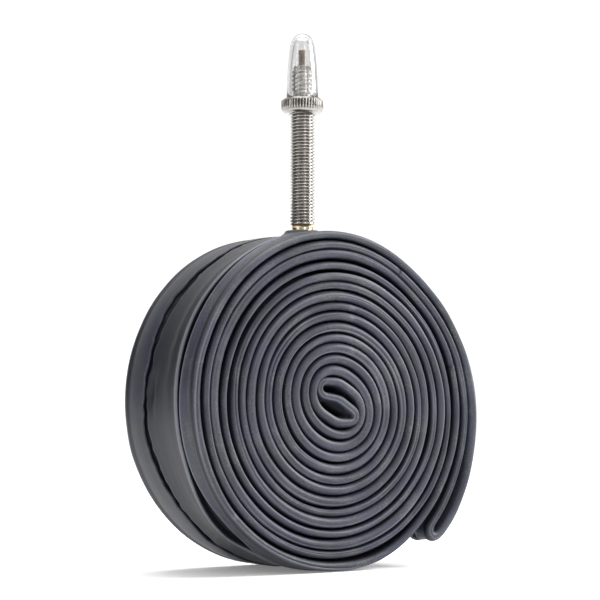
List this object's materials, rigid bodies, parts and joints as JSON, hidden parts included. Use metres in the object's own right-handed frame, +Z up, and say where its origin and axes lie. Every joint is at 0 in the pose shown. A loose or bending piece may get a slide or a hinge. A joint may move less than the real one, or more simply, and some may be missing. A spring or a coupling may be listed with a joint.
{
  "type": "bicycle inner tube",
  "caption": "Closed rubber inner tube, flattened and rolled up for storage, with a threaded metal valve, rim nut and clear dust cap.",
  "frame": {"origin": "on the roll's flat rest face, straight below the valve's axis and half way across the roll's width", "axes": "+Z up along the valve, +Y from the roll's front face to its back face along the roll's axis, +X to the right when the front face is looked at"},
  "size_m": [0.0856, 0.032, 0.1313],
  "materials": {
    "butyl_rubber": "satin",
    "boss_rubber": "satin",
    "nickel_plate": "polished",
    "nickel_plate_nut": "polished",
    "core_metal": "polished",
    "seal_rubber": "matte",
    "pin_brass": "satin",
    "clear_plastic": "glossy"
  },
  "bodies": {
    "tube_body": {"tube": "butyl_rubber", "valve_pad": "boss_rubber", "valve_stem": "nickel_plate"},
    "nut_body": {"rim_nut": "nickel_plate_nut"},
    "core_body": {"valve_core": "core_metal", "core_gasket": "seal_rubber"},
    "pin_body": {"valve_pin": "pin_brass", "pin_seal": "seal_rubber", "pin_foot": "pin_brass"},
    "lock_nut_body": {"lock_nut": "core_metal"},
    "cap_body": {"dust_cap": "clear_plastic"}
  },
  "joints": [
    {"name": "rim_nut_travel", "type": "slide", "parent": "tube_body", "child": "nut_body", "axis": [0, 0, 1], "range_m": [-0.02885, 0]},
    {"name": "core_lift", "type": "slide", "parent": "tube_body", "child": "core_body", "axis": [0, 0, 1], "range_m": [0, 0.022]},
    {"name": "cap_lift", "type": "slide", "parent": "core_body", "child": "cap_body", "axis": [0, 0, 1], "range_m": [0, 0.018]},
    {"name": "lock_nut_turn", "type": "hinge", "parent": "core_body", "child": "lock_nut_body", "pos_m": [0, 0, 0.12189], "axis": [0, 0, 1], "range_deg": [0, 1440]},
    {"name": "pin_drop", "type": "slide", "parent": "core_body", "child": "pin_body", "axis": [0, 0, 1], "range_m": [-0.0016, 0]}
  ],
  "couplings": [
    {"joint": "lock_nut_turn", "follows": "pin_drop", "rad_per_m": -15708}
  ]
}
